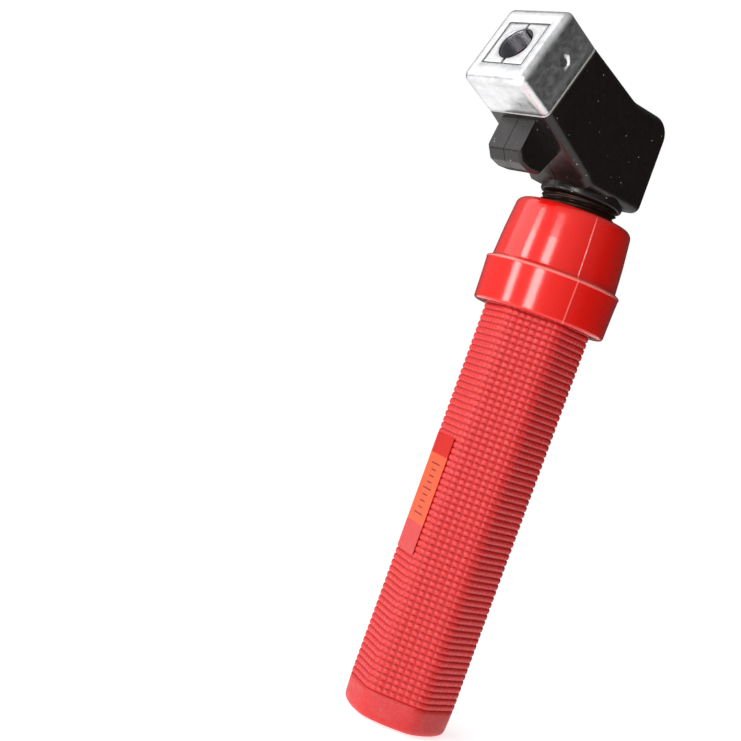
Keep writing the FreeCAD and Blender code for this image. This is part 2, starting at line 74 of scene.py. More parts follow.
GRIP_APOTHEM = 16.9 * MM
GRIP_CORNER_R = 6.0 * MM
GRIP_ROUND_R = 17.9 * MM     # the circle that the rear band comes near to
GRIP_TURN = 40               # direction of the first flat's normal, degrees
ENTRY_R = 10.0 * MM
ENTRY_LENGTH = 12.0 * MM
GRIP_BORE_R = 11.6 * MM
BUSH_BORE_R = 15.7 * MM
BUSH_BOTTOM = 140 * MM
BAND_LENGTH = 9.4 * MM       # smooth band at the rear end
BAND_SINK = 0.15 * MM
REAR_EDGE_R = 2.6 * MM
BAND_ROUND_OFF = 0.6         # how far the rear end's hexagon goes towards that circle
BAND_PALENESS = 0.55         # between a groove's colour with its painted shade, 0, and a crest's, 1
BORE_PALENESS = 0.4
RIB_PITCH = 2.17 * MM
RIB_START = 0.12             # smooth part between the band and the first rib, in pitches
RIB_DEPTH = 0.5 * MM
KNOB_COLUMNS = 8             # over one flat and half a corner on each side of it
GROOVE_SHARES = (0.42, 0.8, 0.5, 0.42, 0.74, 0.84)    # height left between knobs, flat by flat
LABEL_FLAT = 2
LABEL_HALF_WIDTH = 7.2 * MM

NOSE_TILT = math.radians(20)
ELBOW_Z = 203 * MM
FACE_REACH = 55 * MM
NOSE_BACK = Vector((math.cos(NOSE_TILT), 0, -math.sin(NOSE_TILT)))
NOSE_ACROSS = Vector((math.sin(NOSE_TILT), 0, math.cos(NOSE_TILT)))
NOSE_FACE = Vector((0, 0, ELBOW_Z)) - NOSE_BACK * FACE_REACH


def nose_point(depth, y, u):
    """A point given by its depth behind the nose face, its y, and its height u across the nose."""
    return NOSE_FACE + NOSE_BACK * depth + NOSE_ACROSS * u + Vector((0, y, 0))


# ---- mesh helpers -------------------------------------------------------------------------------
def smooth_step(x):
    """0 below 0, 1 above 1 and smooth between."""
    x = min(max(x, 0.0), 1.0)
    return x * x * (3 - 2 * x)


def add_mesh(name, points, faces, sharp_degrees=None):
    """A smooth-shaded mesh object whose faces look outwards; edges sharper than sharp_degrees stay
    crisp."""
    mesh = bpy.data.meshes.new(name)
    mesh.from_pydata(points, [], faces)
    work = bmesh.new()
    work.from_mesh(mesh)
    bmesh.ops.recalc_face_normals(work, faces=work.faces)
    work.to_mesh(mesh)
    work.free()
    mesh.shade_smooth()
    if sharp_degrees:
        mesh.set_sharp_from_angle(angle=math.radians(sharp_degrees))
    obj = bpy.data.objects.new(name, mesh)
    scene.collection.objects.link(obj)
    return obj


def loft(name, rings, closed_ring=True, closed_path=True, cap=False, sharp_degrees=None):
    """A surface through rings of equally many points.  cap fills the path's two ends, or the two
    sides that open rings leave."""
    count = len(rings[0])
    points = [p for ring in rings for p in ring]
    faces = []
    for i in range(len(rings) if closed_path else len(rings) - 1):
        here = i * count
        there = ((i + 1) % len(rings)) * count
        for j in range(count if closed_ring else count - 1):
            k = (j + 1) % count
            faces.append((here + j, here + k, there + k, there + j))
    if cap and closed_ring:
        faces.append(list(reversed(range(count))))
        faces.append([len(points) - count + j for j in range(count)])
    elif cap:
        faces.append([i * count for i in range(len(rings))])
        faces.append([i * count + count - 1 for i in reversed(range(len(rings)))])
    return add_mesh(name, points, faces, sharp_degrees)


def rounded(corners, steps=5):
    """A closed outline from (a, b, radius) corners, each rounded with that radius."""
    outline = []
    for i, (a, b, radius) in enumerate(corners):
        here = Vector((a, b))
        before = Vector(corners[i - 1][:2]) - here
        after = Vector(corners[(i + 1) % len(corners)][:2]) - here
        if radius == 0:
            outline.append((a, b))
            continue
        before.normalize()
        after.normalize()
        half = before.angle(after) / 2
        start = here + before * (radius / math.tan(half))
        centre = here + (before + after).normalized() * (radius / math.sin(half))
        end = here + after * (radius / math.tan(half))
        from_angle = math.atan2(start.y - centre.y, start.x - centre.x)
        sweep = math.atan2(end.y - centre.y, end.x - centre.x) - from_angle
        sweep = (sweep + math.pi) % (2 * math.pi) - math.pi
        for k in range(steps + 1):
            angle = from_angle + sweep * k / steps
            outline.append((centre.x + radius * math.cos(angle), centre.y + radius * math.sin(angle)))
    return outline


def spread(outline, longest):
    """The closed outline with its long stretches divided."""
    result = []
    for i, (a, b) in enumerate(outline):
        c, d = outline[(i + 1) % len(outline)]
        parts = max(1, math.ceil(math.hypot(c - a, d - b) / longest))
        for k in range(parts):
            result.append((a + (c - a) * k / parts, b + (d - b) * k / parts))
    return result


# ---- material helpers ---------------------------------------------------------------------------
class Finish:
    """A procedural material in the making: nodes are added and linked by short calls."""

    def __init__(self, name, **values):
        self.material = bpy.data.materials.new(name)
        self.material.use_nodes = True
        self.tree = self.material.node_tree
        self.shader = self.tree.nodes["Principled BSDF"]
        for key, value in values.items():
            self.shader.inputs[key.replace("_", " ")].default_value = value
        self.place = self.tree.nodes.new("ShaderNodeTexCoord").outputs["Object"]

    def node(self, kind, links=(), **values):
        """A node with its settings and inputs; links pairs an input with another node's output."""
        made = self.tree.nodes.new(kind)
        for key, value in values.items():
            if hasattr(made, key):
                setattr(made, key, value)
            else:
                made.inputs[key.replace("_", " ")].default_value = value
        for key, output in links:
            self.tree.links.new(output, made.inputs[key])
        return made

    def noise(self, scale, detail=4.0, stretch=None, roughness=0.55):
        """Noise of so many features a metre."""
        place = self.place
        if stretch:
            place = self.node("ShaderNodeMapping", [("Vector", place)], Scale=stretch).outputs["Vector"]
        made = self.node("ShaderNodeTexNoise", [("Vector", place)], Scale=scale, Detail=detail)
        made.inputs["Roughness"].default_value = roughness
        return made.outputs["Fac"]

    def spots(self, scale, size, share):
        """1 in round spots: size is a share of their spacing, share is how many cells have one."""
        cells = self.node("ShaderNodeTexVoronoi", [("Vector", self.place)], Scale=scale)
        near = self.between(cells.outputs["Distance"], size, size * 0.5)
        parts = self.node("ShaderNodeSeparateColor", [("Color", cells.outputs["Color"])])
        picked = self.between(parts.outputs["Red"], share, share - 0.01)
        return self.node("ShaderNodeMath", [(0, near), (1, picked)], operation="MULTIPLY").outputs[0]

    def attribute(self, name):
        """A number stored on the mesh's points."""
        return self.node("ShaderNodeAttribute", attribute_name=name).outputs["Fac"]

    def between(self, value, low, high, to_low=0.0, to_high=1.0):
        """value mapped from low..high to to_low..to_high, held at the ends."""
        made = self.node("ShaderNodeMapRange", [("Value", value)], From_Min=low, From_Max=high)
        made.inputs["To Min"].default_value = to_low
        made.inputs["To Max"].default_value = to_high
        return made.outputs["Result"]

    def mix(self, factor, first, second):
        """A colour between first and second, each a colour or a node's output."""
        made = self.node("ShaderNodeMix", data_type="RGBA")
        self.tree.links.new(factor, made.inputs["Factor"])
        for socket, colour in ((made.inputs[6], first), (made.inputs[7], second)):
            if isinstance(colour, tuple):
                socket.default_value = (*colour, 1)
            else:
                self.tree.links.new(colour, socket)
        return made.outputs[2]

    def colour(self, output):
        """Drives the base colour."""
        self.tree.links.new(output, self.shader.inputs["Base Color"])

    def roughness(self, output):
        """Drives the roughness."""
        self.tree.links.new(output, self.shader.inputs["Roughness"])

    def bump(self, *layers):
        """Bump from (height output, height in metres) layers."""
        normal = None
        for height, size in layers:
            made = self.node("ShaderNodeBump", [("Height", height)], Strength=1.0, Distance=size)
            if normal:
                self.tree.links.new(normal, made.inputs["Normal"])
            normal = made.outputs["Normal"]
        self.tree.links.new(normal, self.shader.inputs["Normal"])


def grip_rubber():
    """Matte red rubber, paler on its crests, with painted shade in its grooves: they are given a darker
    red.
    """
    f = Finish("grip_rubber", Specular_IOR_Level=0.55)
    crest = f.attribute("crest")
    red = f.mix(f.noise(70, 3), (0.60, 0.010, 0.011), (0.70, 0.018, 0.019))
    dusty = f.mix(f.between(f.noise(1100, 4), 0.42, 0.7, 0.0, 0.55), red, (0.78, 0.075, 0.07))
    # painted shade: the lower a point sits between crest and groove, the nearer its colour comes to the
    # dark groove red
    f.colour(f.mix(f.between(crest, 0.1, 0.9), (0.42, 0.004, 0.007), dusty))
    f.roughness(f.between(f.noise(400, 4), 0.3, 0.7, 0.38, 0.54))
    f.bump((f.noise(1400, 4), 0.00009), (f.noise(6000, 2), 0.00002))
    return f.material


def collar_plastic():
    """Glossy red moulded insulator with a faint ripple."""
    f = Finish("collar_plastic", Coat_Weight=1.0, Coat_Roughness=0.15, Coat_IOR=1.55,
               Specular_IOR_Level=0.1)
    red = f.mix(f.noise(45, 3), (0.66, 0.005, 0.002), (0.76, 0.010, 0.005))
    f.colour(f.mix(f.attribute("flash"), red, (0.95, 0.30, 0.26)))
    f.roughness(f.between(f.noise(160, 5), 0.3, 0.7, 0.18, 0.3))
    f.bump((f.noise(140, 3), 0.00010), (f.noise(1500, 3), 0.000012))
    return f.material


def shell_black():
    """Gloss black moulded insulator with dust specks and faint scuffs."""
    f = Finish("shell_black", IOR=1.5)
    body = f.mix(f.noise(120, 4), (0.006, 0.0036, 0.0034), (0.011, 0.007, 0.0065))
    dust = f.spots(560, 0.11, 0.24)
    fine = f.spots(1500, 0.2, 0.1)
    spotted = f.mix(f.between(fine, 0, 1, 0, 0.35), body, (0.20, 0.18, 0.15))
    f.colour(f.mix(f.between(dust, 0, 1, 0, 0.9), spotted, (0.75, 0.72, 0.68)))
    f.roughness(f.between(f.noise(350, 6, roughness=0.7), 0.35, 0.7, 0.26, 0.4))
    f.bump((f.noise(260, 3), 0.00002), (f.noise(3000, 3), 0.000006))
    return f.material


def nose_metal():
    """Cast aluminium, rumbled: fine grain, faint streaks and darker stains."""
    f = Finish("nose_metal", Metallic=1.0)
    streaks = f.noise(260, 5, stretch=(6.0, 1.0, 0.7))
    stains = f.between(f.noise(150, 6, roughness=0.7), 0.42, 0.72)
    bright = f.mix(streaks, (0.74, 0.75, 0.76), (0.93, 0.93, 0.94))
    f.colour(f.mix(f.between(stains, 0, 1, 0, 0.5), bright, (0.40, 0.40, 0.41)))
    f.roughness(f.between(f.noise(500, 6), 0.3, 0.7, 0.27, 0.46))
    f.bump((f.noise(420, 4), 0.00006), (f.noise(2400, 5), 0.00003), (streaks, 0.00002))
    return f.material


def mouth_metal():
    """Machined aluminium, with painted shade darkening the wall of its hole."""
    f = Finish("mouth_metal", Metallic=1.0)
    painted_hole_shade = f.attribute("painted_hole_shade")
    face = f.mix(f.noise(900, 4), (0.62, 0.62, 0.63), (0.78, 0.78, 0.78))
    # painted shade on the hole's wall
    f.colour(f.mix(painted_hole_shade, face, (0.17, 0.165, 0.18)))
    f.roughness(f.between(f.noise(700, 4), 0.3, 0.7, 0.26, 0.44))
    f.bump((f.noise(3000, 4), 0.00002))
    return f.material


def turned_metal(name, low, high, roughness):
    """A turned or drawn metal with fine rings and a little stain."""
    f = Finish(name, Metallic=1.0)
    f.colour(f.mix(f.noise(180, 5), low, high))
    f.roughness(f.between(f.noise(800, 5), 0.3, 0.7, roughness - 0.08, roughness + 0.08))
    f.bump((f.noise(300, 3, stretch=(1.0, 1.0, 12.0)), 0.00003))
    return f.material


def neck_metal():
    """Brass thread, coloured very dark brown."""
    f = Finish("neck_metal", Metallic=0.7)
    f.colour(f.mix(f.noise(300, 6), (0.016, 0.009, 0.008), (0.07, 0.035, 0.022)))
    f.roughness(f.between(f.noise(900, 5), 0.3, 0.7, 0.3, 0.55))
    f.bump((f.noise(2500, 4), 0.00004))
    return f.material


def fibre(name, low, high):
    """Pressed fibre board with a fine grain."""
    f = Finish(name)
    f.colour(f.mix(f.noise(700, 6), low, high))
    f.roughness(f.between(f.noise(900, 4), 0.3, 0.7, 0.6, 0.8))
    f.bump((f.noise(2200, 4), 0.00004))
    return f.material


def film(name, low, high):
    """Printed label film, slightly worn."""
    f = Finish(name, Specular_IOR_Level=0.3)
    f.colour(f.mix(f.noise(260, 6, roughness=0.7), low, high))
    f.roughness(f.between(f.noise(500, 4), 0.3, 0.7, 0.34, 0.5))
    f.bump((f.noise(900, 4), 0.00002))
    return f.material


# ---- grip ---------------------------------------------------------------------------------------
def grip_section(flat, t, sink, round_off=0.0):
    """A point of the grip's rounded hexagon: t runs from -1 to 1 over one flat and half of the
    corner on each side of it.  sink moves it inwards and round_off brings it nearer to a circle."""
    half_flat = (GRIP_APOTHEM - GRIP_CORNER_R) * math.tan(math.radians(30))
    half_arc = GRIP_CORNER_R * math.radians(30)
    along = t * (half_flat + half_arc)
    radius = GRIP_CORNER_R - sink
    if abs(along) <= half_flat:
        x, y = GRIP_APOTHEM - sink, along
    else:
        turn = (abs(along) - half_flat) / GRIP_CORNER_R
        x = GRIP_APOTHEM - GRIP_CORNER_R + radius * math.cos(turn)
        y = math.copysign(half_flat + radius * math.sin(turn), along)
    scale = 1 + round_off * ((GRIP_ROUND_R - sink) / math.hypot(x, y) - 1)
    x, y = x * scale, y * scale
    angle = math.radians(GRIP_TURN + 60 * flat)
    return x * math.cos(angle) - y * math.sin(angle), x * math.sin(angle) + y * math.cos(angle)


# places across the pitch of a rib or a knob and the height there, from groove to crest
RIB_PROFILE = ((0.0, 0.0), (0.1, 0.35), (0.21, 0.92), (0.5, 1.0), (0.79, 0.92), (0.9, 0.35))
KNOB_PROFILE = ((0.0, 0.0), (0.1, 0.3), (0.25, 0.9), (0.5, 1.0), (0.75, 0.9), (0.9, 0.3))


def build_grip():
    """Rubber grip: ribs all round, cut into knobs on two opposite flats and more shallowly on the
    rest, and a smooth rear band."""
    columns = []
    for flat in range(6):
        for k in range(KNOB_COLUMNS):
            for part, height in KNOB_PROFILE:
                t = -1 + 2 * (k + part) / KNOB_COLUMNS
                columns.append((flat, t, height))
    ribs = int((grip_top - BAND_LENGTH) / RIB_PITCH)
    levels = []
    for k in range(7):
        angle = math.pi / 2 * k / 6
        inset = REAR_EDGE_R * (1 - math.sin(angle))
        levels.append((REAR_EDGE_R * (1 - math.cos(angle)), None, inset + BAND_SINK))
    for share in (0.4, 0.55, 0.7, 0.85, 1.0):
        levels.append((BAND_LENGTH * share, None, BAND_SINK))
    for rib in range(ribs):
        for part, height in RIB_PROFILE:
            levels.append((BAND_LENGTH + (rib + RIB_START + part) * RIB_PITCH, height, 0.0))
    levels.append((grip_top, 1.0, 0.0))

    rings = []
    crest = []
    for z, rib_height, inset in levels:
        ring = []
        for flat, t, knob_height in columns:
            height = 1.0
            if rib_height is not None:
                low = GROOVE_SHARES[flat]
                height = rib_height * (low + (1 - low) * knob_height)
            on_band = rib_height is None
            round_off = BAND_ROUND_OFF * (1 - smooth_step(z / BAND_LENGTH)) if on_band else 0.0
            x, y = grip_section(flat, t, inset + (1 - height) * RIB_DEPTH, round_off)
            ring.append(Vector((x, y, z)))
            crest.append(BAND_PALENESS if on_band else height)
        rings.append(ring)
    for radius, z in ((BUSH_BORE_R, grip_top), (BUSH_BORE_R, BUSH_BOTTOM), (GRIP_BORE_R, BUSH_BOTTOM),
                      (GRIP_BORE_R, ENTRY_LENGTH), (ENTRY_R, ENTRY_LENGTH), (ENTRY_R, 0.5 * MM),
                      (ENTRY_R + 0.5 * MM, 0.0)):
        ring = []
        for flat, t, height in columns:
            x, y = grip_section(flat, t, 0.0)
            scale = radius / math.hypot(x, y)
            ring.append(Vector((x * scale, y * scale, z)))
            crest.append(BORE_PALENESS)
        rings.append(ring)
    grip = loft("grip_rubber_sleeve", rings, sharp_degrees=70)
    # the crest heights, which the rubber's colour turns into painted shade in the grooves
    values = grip.data.attributes.new("crest", "FLOAT", "POINT")
    values.data.foreach_set("value", crest)
    return grip


# ---- collar -------------------------------------------------------------------------------------
SEAMS = (-115, 65)           # directions of the mould's parting lines, degrees
FLASH_HEIGHT = 0.22 * MM
FLASH_DEGREES = 0.8          # half the flash's width
FLASH_FROM_R = 19.5 * MM     # the flash is only on the outside
FLASH_FULL = 0.35 * MM       # a flash so high would be quite pale
EDGE_Z = 159.3 * MM          # the ring's upper edge, worn pale
EDGE_HALF = 0.5 * MM
EDGE_FROM_R = 22.6 * MM


def lathe(name, outline, angles, bulge=None, sharp_degrees=35):
    """Turns a closed (radius, z) outline about the grip axis, at the given angles in degrees."""
    rings = []
    for angle in angles:
        c, s = math.cos(math.radians(angle)), math.sin(math.radians(angle))
        ring = []
        for r, z in outline:
            swell = bulge(angle, r, z) if bulge else 0.0
            ring.append(Vector(((r + swell) * c, (r + swell) * s, z)))
        rings.append(ring)
    return loft(name, rings, sharp_degrees=sharp_degrees)


def build_collar():
    """Moulded collar with a skirt, a ring edge, a tapered nose and its moulding flash.  Its outline
    is in millimetres: distance from the axis, height and corner radius."""
    outline = rounded([(r * MM, z * MM, c * MM) for r, z, c in (
        (18.95, 144.3, 0.3), (23.0, 144.3, 1.1), (23.3, 154.5, 6.0), (23.5, 158.7, 0.2),
        (23.66, 159.1, 0.15), (23.5, 159.6, 0.2), (21.9, 160.5, 0.6), (21.3, 170.0, 8.0),
        (20.1, 182.0, 2.7), (13.7, 182.0, 0.4), (13.7, 176.1, 0), (15.7, 176.1, 0),
        (15.7, 150.2, 0), (18.95, 150.2, 0))], steps=6)
    outline = spread(outline, 1.5 * MM)
    angles = set(range(0, 360, 3))
    for seam in SEAMS:
        angles |= {seam % 360 + offset for offset in (-1.5, -1.0, -0.6, -0.3, 0.3, 0.6, 1.0, 1.5)}

    def flash(angle, r, z):
        """Thin raised line where the mould halves met."""
        if r < FLASH_FROM_R:
            return 0.0
        nearest = min(abs((angle - seam + 180) % 360 - 180) for seam in SEAMS)
        return FLASH_HEIGHT * max(0.0, 1 - nearest / FLASH_DEGREES)

    collar = lathe("collar_moulding", outline, sorted(angles), flash)
    pale = []
    for angle in sorted(angles):
        for r, z in outline:
            on_edge = r > EDGE_FROM_R
            ring_edge = max(0.0, 1 - abs(z - EDGE_Z) / EDGE_HALF) if on_edge else 0.0
            pale.append(max(ring_edge, flash(angle, r, z) / FLASH_FULL))
    values = collar.data.attributes.new("flash", "FLOAT", "POINT")
    values.data.foreach_set("value", pale)
    return collar


# ---- neck ---------------------------------------------------------------------------------------
def build_neck():
    """Threaded neck: a two-start right-hand thread cut into a tube."""
    crest, root, bore = 13.2 * MM, 12.25 * MM, 9.62 * MM
    pitch, starts = 2.0 * MM, 2
    around = 96
    low, high = neck_low.z, neck_high.z
    rows = int((high - low) / pitch) * 8
    rings = []
    for j in range(around):
        angle = 2 * math.pi * j / around
        ring = [Vector((bore * math.cos(angle), bore * math.sin(angle), z)) for z in (high, low)]
        for i in range(rows + 1):
            z = low + (high - low) * i / rows
            phase = ((z - low) / pitch - starts * j / around) % 1.0
            height = smooth_step(abs(phase - 0.5) * 2.6 - 0.25)
            fade = min(1.0, i / 4, (rows - i) / 4)
            radius = root + (crest - root) * height * fade
            ring.append(Vector((radius * math.cos(angle), radius * math.sin(angle), z)))
        rings.append(ring)
    return loft("neck_thread", rings, sharp_degrees=60)


# ---- nose ---------------------------------------------------------------------------------------
CAP_SCREW_DEPTH = 10 * MM
CAP_SCREW_U = 2 * MM
SLOT_HALF = 0.6 * MM
MOUTH_HALF_Y = 8.8 * MM
MOUTH_HALF_U = 8.15 * MM
MOUTH_R = 6 * MM


def square_ring(half_y, half_u, corner, depth, dent=0.0, side_steps=14, corner_steps=7):
    """Points round a rounded rectangle across the nose.  dent sinks the middle of each side."""
    ring = []
    quarters = ((1, 1), (-1, 1), (-1, -1), (1, -1))
    for index, signs in enumerate(quarters):
        centre = ((half_y - corner) * signs[0], (half_u - corner) * signs[1])
        first = index * math.pi / 2
        for k in range(corner_steps + 1):
            angle = first + math.pi / 2 * k / corner_steps
            y, u = centre[0] + corner * math.cos(angle), centre[1] + corner * math.sin(angle)
            ring.append(nose_point(depth, y, u))
        following = quarters[(index + 1) % 4]
        end_angle = first + math.pi / 2
        outward = Vector((math.cos(end_angle), math.sin(end_angle)))
        start = Vector(centre) + outward * corner
        end = Vector(((half_y - corner) * following[0], (half_u - corner) * following[1]))
        end += outward * corner
        length = (end - start).length
        for k in range(1, side_steps):
            along = k / side_steps
            edge = min(along, 1 - along) * length
            sink = dent * smooth_step((edge - 0.2 * MM) / (1.6 * MM))
            point = start.lerp(end, along) - outward * sink
            ring.append(nose_point(depth, point.x, point.y))
    return ring


def build_nose_cap():
    """Square cast cap with shallow sunk sides and a window for the electrode mouth."""
    half_y, half_u, corner, length = 14.1 * MM, 14.8 * MM, 2.4 * MM, 16.4 * MM
    window_y, window_u = 9.25 * MM, 8.6 * MM
    rings = [square_ring(window_y, window_u, 0.35 * MM, d * MM) for d in (4.4, 0.2)]
    rings.append(square_ring(window_y + 0.04 * MM, window_u + 0.04 * MM, 0.35 * MM, 0.04 * MM))
    rings.append(square_ring(window_y + 0.15 * MM, window_u + 0.15 * MM, 0.45 * MM, 0.0))
    front_r = 2.2 * MM
    for k in range(7):
        angle = math.pi / 2 * k / 6
        inset = front_r * (1 - math.sin(angle))
        depth = front_r * (1 - math.cos(angle))
        shrunk = max(corner - inset * 0.6, 1.2 * MM)
        rings.append(square_ring(half_y - inset, half_u - inset, shrunk, depth))
    sinks = ((2.6, 0.0), (3.2, 0.08), (4.0, 0.22), (4.8, 0.27), (7.0, 0.28), (9.5, 0.28), (12.0, 0.27),
             (13.2, 0.22), (14.2, 0.08), (14.9, 0.0))
    for depth, dent in sinks:
        rings.append(square_ring(half_y, half_u, corner, depth * MM, dent * MM))
    rings.append(square_ring(half_y, half_u, corner, length - 0.4 * MM))
    for inset, back in ((0.12 * MM, 0.1 * MM), (0.4 * MM, 0.0)):
        rings.append(square_ring(half_y - inset, half_u - inset, corner - inset, length - back))
    rings.append(square_ring(11.1 * MM, 12.4 * MM, 1.5 * MM, length))
    rings.append(square_ring(11.1 * MM, 12.4 * MM, 1.5 * MM, 7.3 * MM))
    rings.append(square_ring(10.7 * MM, 10.3 * MM, 1.0 * MM, 4.4 * MM))
    cap = loft("nose_cap_casting", rings, sharp_degrees=50)
    for side in (-1, 1):
        drill(cap, nose_point(CAP_SCREW_DEPTH, side * half_y, CAP_SCREW_U), 1.9 * MM, 2.2 * MM)
    return cap


def drill(piece, middle, radius, length):
    """Cuts a hole along Y into a piece, round a point on its surface."""
    circles = []
    for y in (middle.y - length / 2, middle.y + length / 2):
        circles.append([Vector((middle.x + radius * math.cos(a), y, middle.z + radius * math.sin(a)))
                        for a in (2 * math.pi * k / 32 for k in range(32))])
    sides = [(k, (k + 1) % 32, 32 + (k + 1) % 32, 32 + k) for k in range(32)]
    ends = [list(reversed(range(32))), list(range(32, 64))]
    tool = add_mesh("drill", circles[0] + circles[1], sides + ends)
    cut = piece.modifiers.new("cut", "BOOLEAN")
    cut.operation = "DIFFERENCE"
    cut.solver = "EXACT"
    cut.object = tool
    seen = piece.evaluated_get(bpy.context.evaluated_depsgraph_get())
    mesh = bpy.data.meshes.new_from_object(seen)
    piece.modifiers.clear()
    piece.data = mesh
    bpy.data.objects.remove(tool)


def build_cap_screws():
    """The cap's two slotted grub screws, below its surface."""
    points, faces = [], []
    radius, top, low = 1.68 * MM, 13.2 * MM, 8.7 * MM
    for side in (-1, 1):
        middle = nose_point(CAP_SCREW_DEPTH, 0, CAP_SCREW_U)
        first = len(points)
        outline = [(radius * 0.86, top), (radius, top - 0.2 * MM), (radius, low)]
        for r, y in outline:
            for k in range(24):
                angle = math.pi * 2 * k / 24 * side
                x, z = middle.x + r * math.cos(angle), middle.z + r * math.sin(angle)
                points.append(Vector((x, side * y, z)))
        for row in range(len(outline) - 1):
            for k in range(24):
                here, there = first + row * 24, first + (row + 1) * 24
                following = (k + 1) % 24
                faces.append((here + k, here + following, there + following, there + k))
        faces.append([first + k for k in reversed(range(24))])
        faces.append([first + (len(outline) - 1) * 24 + k for k in range(24)])
    return add_mesh("cap_grub_screws", points, faces, sharp_degrees=30)


def mouth_strip(side, arc_radius, half_y, half_u, share, depth, slot_half=SLOT_HALF, steps=36):
    """Points of half a mouth across the nose, from the slot round to the slot.  share runs from 0
    on the hole's wall to 1 on the insert's outer edge."""
    strip = []
    for k in range(steps + 1):
        angle = math.pi / 2 + math.pi * k / steps
        arc = Vector((min(arc_radius * math.cos(angle), -slot_half), arc_radius * math.sin(angle)))
        reach = max(abs(math.cos(angle)) / (half_y - slot_half), abs(math.sin(angle)) / half_u)
        edge = Vector((math.cos(angle) / reach - slot_half, math.sin(angle) / reach))
        point = arc.lerp(edge, share)
        strip.append(nose_point(depth, -side * point.x, point.y))
    return strip


def build_mouth_half(side, name):
    """Half of the split electrode mouth, with a serrated hole."""
    radius, half_y, half_u, length = MOUTH_R, MOUTH_HALF_Y, MOUTH_HALF_U, 7.0 * MM
    rows = []
    teeth = 14
    for k in range(teeth * 2 + 1):
        depth = length - (length - 0.7 * MM) * k / (teeth * 2)
        cut = 0.3 * MM if k % 2 else 0.0
        rows.append((mouth_strip(side, radius - cut, half_y, half_u, 0.0, depth), 1.0))
    rows.append((mouth_strip(side, radius + 0.05 * MM, half_y, half_u, 0.0, 0.35 * MM), 1.0))
    rows.append((mouth_strip(side, radius + 0.30 * MM, half_y, half_u, 0.0, 0.12 * MM), 0.4))
    for share in (0.35, 0.7):
        rows.append((mouth_strip(side, radius + 0.30 * MM, half_y, half_u, share, 0.10 * MM), 0.0))
    for inset, depth in ((0.25, 0.10), (0.06, 0.18), (0.0, 0.4)):
        edge = mouth_strip(side, radius, half_y - inset * MM, half_u - inset * MM, 1.0, depth * MM)
        rows.append((edge, 0.0))
    rows.append((mouth_strip(side, radius, half_y, half_u, 1.0, length), 0.0))
    mouth = loft(name, [strip for strip, painted_hole_shade in rows], closed_ring=False, cap=True, sharp_degrees=40)
    # painted shade: 1 on the hole's wall, less at its rim, 0 on the outer face
    values = mouth.data.attributes.new("painted_hole_shade", "FLOAT", "POINT")
    values.data.foreach_set("value", [painted_hole_shade for strip, painted_hole_shade in rows for point in strip])
    return mouth


def block_faces(first):
    """Faces of a box whose eight points start at first: four round one end, then the other."""
    ends = [(first, first + 3, first + 2, first + 1), tuple(first + 4 + k for k in range(4))]
    sides = [(first + k, first + (k + 1) % 4, first + 4 + (k + 1) % 4, first + 4 + k) for k in range(4)]
    return ends + sides


def build_mouth_keys():
    """Thin keys low in the slots between the mouth's halves."""
    points, faces = [], []
    half = SLOT_HALF - 0.02 * MM
    for side in (-1, 1):
        low, high = sorted((side * (MOUTH_R + 0.4 * MM), side * (MOUTH_HALF_U - 0.1 * MM)))
        faces += block_faces(len(points))
        for depth in (0.8 * MM, 4.0 * MM):
            for y, u in ((-half, low), (half, low), (half, high), (-half, high)):
                points.append(nose_point(depth, y, u))
    keys = add_mesh("mouth_keys", points, faces)
    keys.data.shade_flat()
    return keys


# ---- label --------------------------------------------------------------------------------------
BARS = 9
FIRST_BAR_Z = 69.2 * MM
BAR_PITCH = 2.2 * MM
BAR_HALF = 0.25 * MM


def rectangle(half_length, bottom, top):
    """A closed (along, z) outline."""
    return [(-half_length, bottom), (half_length, bottom), (half_length, top), (-half_length, top)]


def on_label(along, z, lift):
    """A point on the label's flat: along runs across the flat, lift is the height above it."""
    angle = math.radians(GRIP_TURN + 60 * LABEL_FLAT)
    x = GRIP_APOTHEM + lift
    return Vector((x * math.cos(angle) - along * math.sin(angle),
                   x * math.sin(angle) + along * math.cos(angle), z))


def label_patch(name, outline, low, high):
    """A flat patch on the label with a closed (along, z) outline, between two lifts."""
    count = len(outline)
    points = [on_label(a, z, low) for a, z in outline] + [on_label(a, z, high) for a, z in outline]
    faces = [list(reversed(range(count))), list(range(count, 2 * count))]
    faces += [(k, (k + 1) % count, count + (k + 1) % count, count + k) for k in range(count)]
    return add_mesh(name, points, faces, sharp_degrees=30)


def build_label():
    """Smooth label: three plain fields and a plain scale of bars."""
    low, field, mark = 0.02 * MM, 0.17 * MM, 0.2 * MM
    fields = (("label_top", "label_film", 90.0, 97.0, ("rating_label",)),
              ("label_band", "label_orange", 66.0, 90.0, ()),
              ("label_foot", "label_foot", 56.0, 66.0, ()))
    for name, finish, bottom, top, nodes in fields:
        outline = rectangle(LABEL_HALF_WIDTH, bottom * MM, top * MM)
        patch = label_patch(name, outline, low, field)
        place(patch, "handle", "label_film", FINISHES[finish], *nodes)
    for k in range(BARS):
        half_length = (3.6 if k % 4 == 0 else 2.0) * MM
        z = FIRST_BAR_Z + BAR_PITCH * k
        outline = rectangle(half_length, z - BAR_HALF, z + BAR_HALF)
        bar = label_patch("label_bar_%d" % k, outline, field, mark)
        place(bar, "handle", "label_film", FINISHES["label_ink"])


# ---- spring -------------------------------------------------------------------------------------
def build_spring():
    """Return spring between the rod's flange and the head, closed at both ends."""
    low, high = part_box("return_spring")
    wire = 0.8 * MM
    coil_r = high.x - wire
    turns, steps, sides = 6, 40, 12
    rings = []
    for k in range(turns * steps + 1):
        turn = k / steps
        lift = smooth_step((turn - 0.4) / (turns - 0.8)) * 0.25 + (turn / turns) * 0.75
        angle = 2 * math.pi * turn
        out = Vector((math.cos(angle), math.sin(angle), 0))
        middle = out * coil_r + Vector((0, 0, low.z + wire + (high.z - low.z - 2 * wire) * lift))
        rings.append([middle + out * (wire * math.cos(2 * math.pi * j / sides))
                      + Vector((0, 0, wire * math.sin(2 * math.pi * j / sides))) for j in range(sides)])
    return loft("return_spring_coil", rings, closed_path=False, cap=True)


